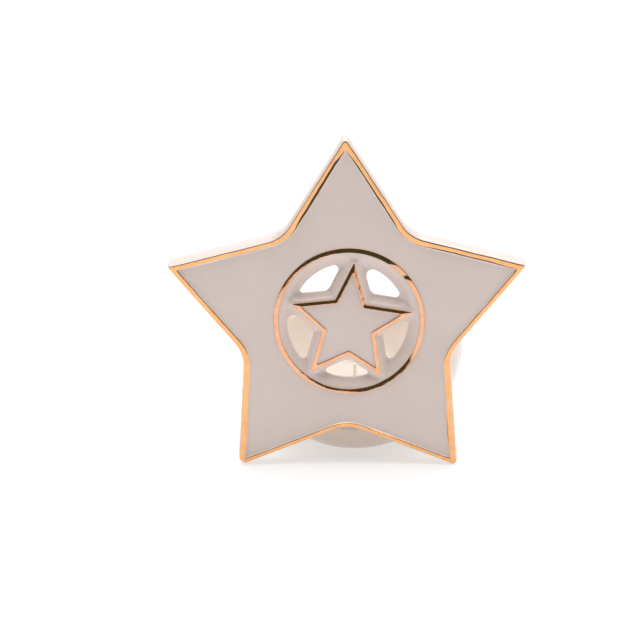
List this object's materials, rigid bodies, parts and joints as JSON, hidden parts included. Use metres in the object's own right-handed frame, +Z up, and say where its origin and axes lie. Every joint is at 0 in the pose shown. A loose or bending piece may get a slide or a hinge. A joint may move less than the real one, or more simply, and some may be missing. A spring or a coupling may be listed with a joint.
{
  "type": "tealight holder",
  "caption": "Freestanding ceramic star panel with a pierced round centre and raised gold lines; a bowl-shaped cup behind it holds a tealight that lifts out.",
  "frame": {"origin": "centre of the object's bounding box at its base, on the surface it stands on", "axes": "+X across the star, +Y from the star's face towards the cup, +Z up"},
  "size_m": [0.1146, 0.0668, 0.109],
  "materials": {
    "glaze_panel": "glossy warm-white glaze",
    "glaze_medallion": "glossy warm-white glaze",
    "gold_lustre": "fired rose-gold lustre, glossy",
    "glaze_cup": "glossy warm-white glaze, unglazed foot",
    "can_aluminium": "bright pressed foil",
    "wax": "smooth white wax",
    "wick": "braided cotton, waxed",
    "tin_plate": "tin-plated sheet"
  },
  "bodies": {
    "holder": {"star_panel": "glaze_panel", "pierced_medallion": "glaze_medallion", "outline_gold_line": "gold_lustre", "ring_gold_line": "gold_lustre", "small_star_gold_line": "gold_lustre", "cup": "glaze_cup"},
    "tealight": {"tealight_can": "can_aluminium", "tealight_wax": "wax", "tealight_wick": "wick", "wick_sustainer": "tin_plate"}
  },
  "joints": [
    {"name": "tealight_lift", "type": "slide", "parent": "holder", "child": "tealight", "axis": [0, 0, 1], "range_m": [0, 0.045]}
  ]
}
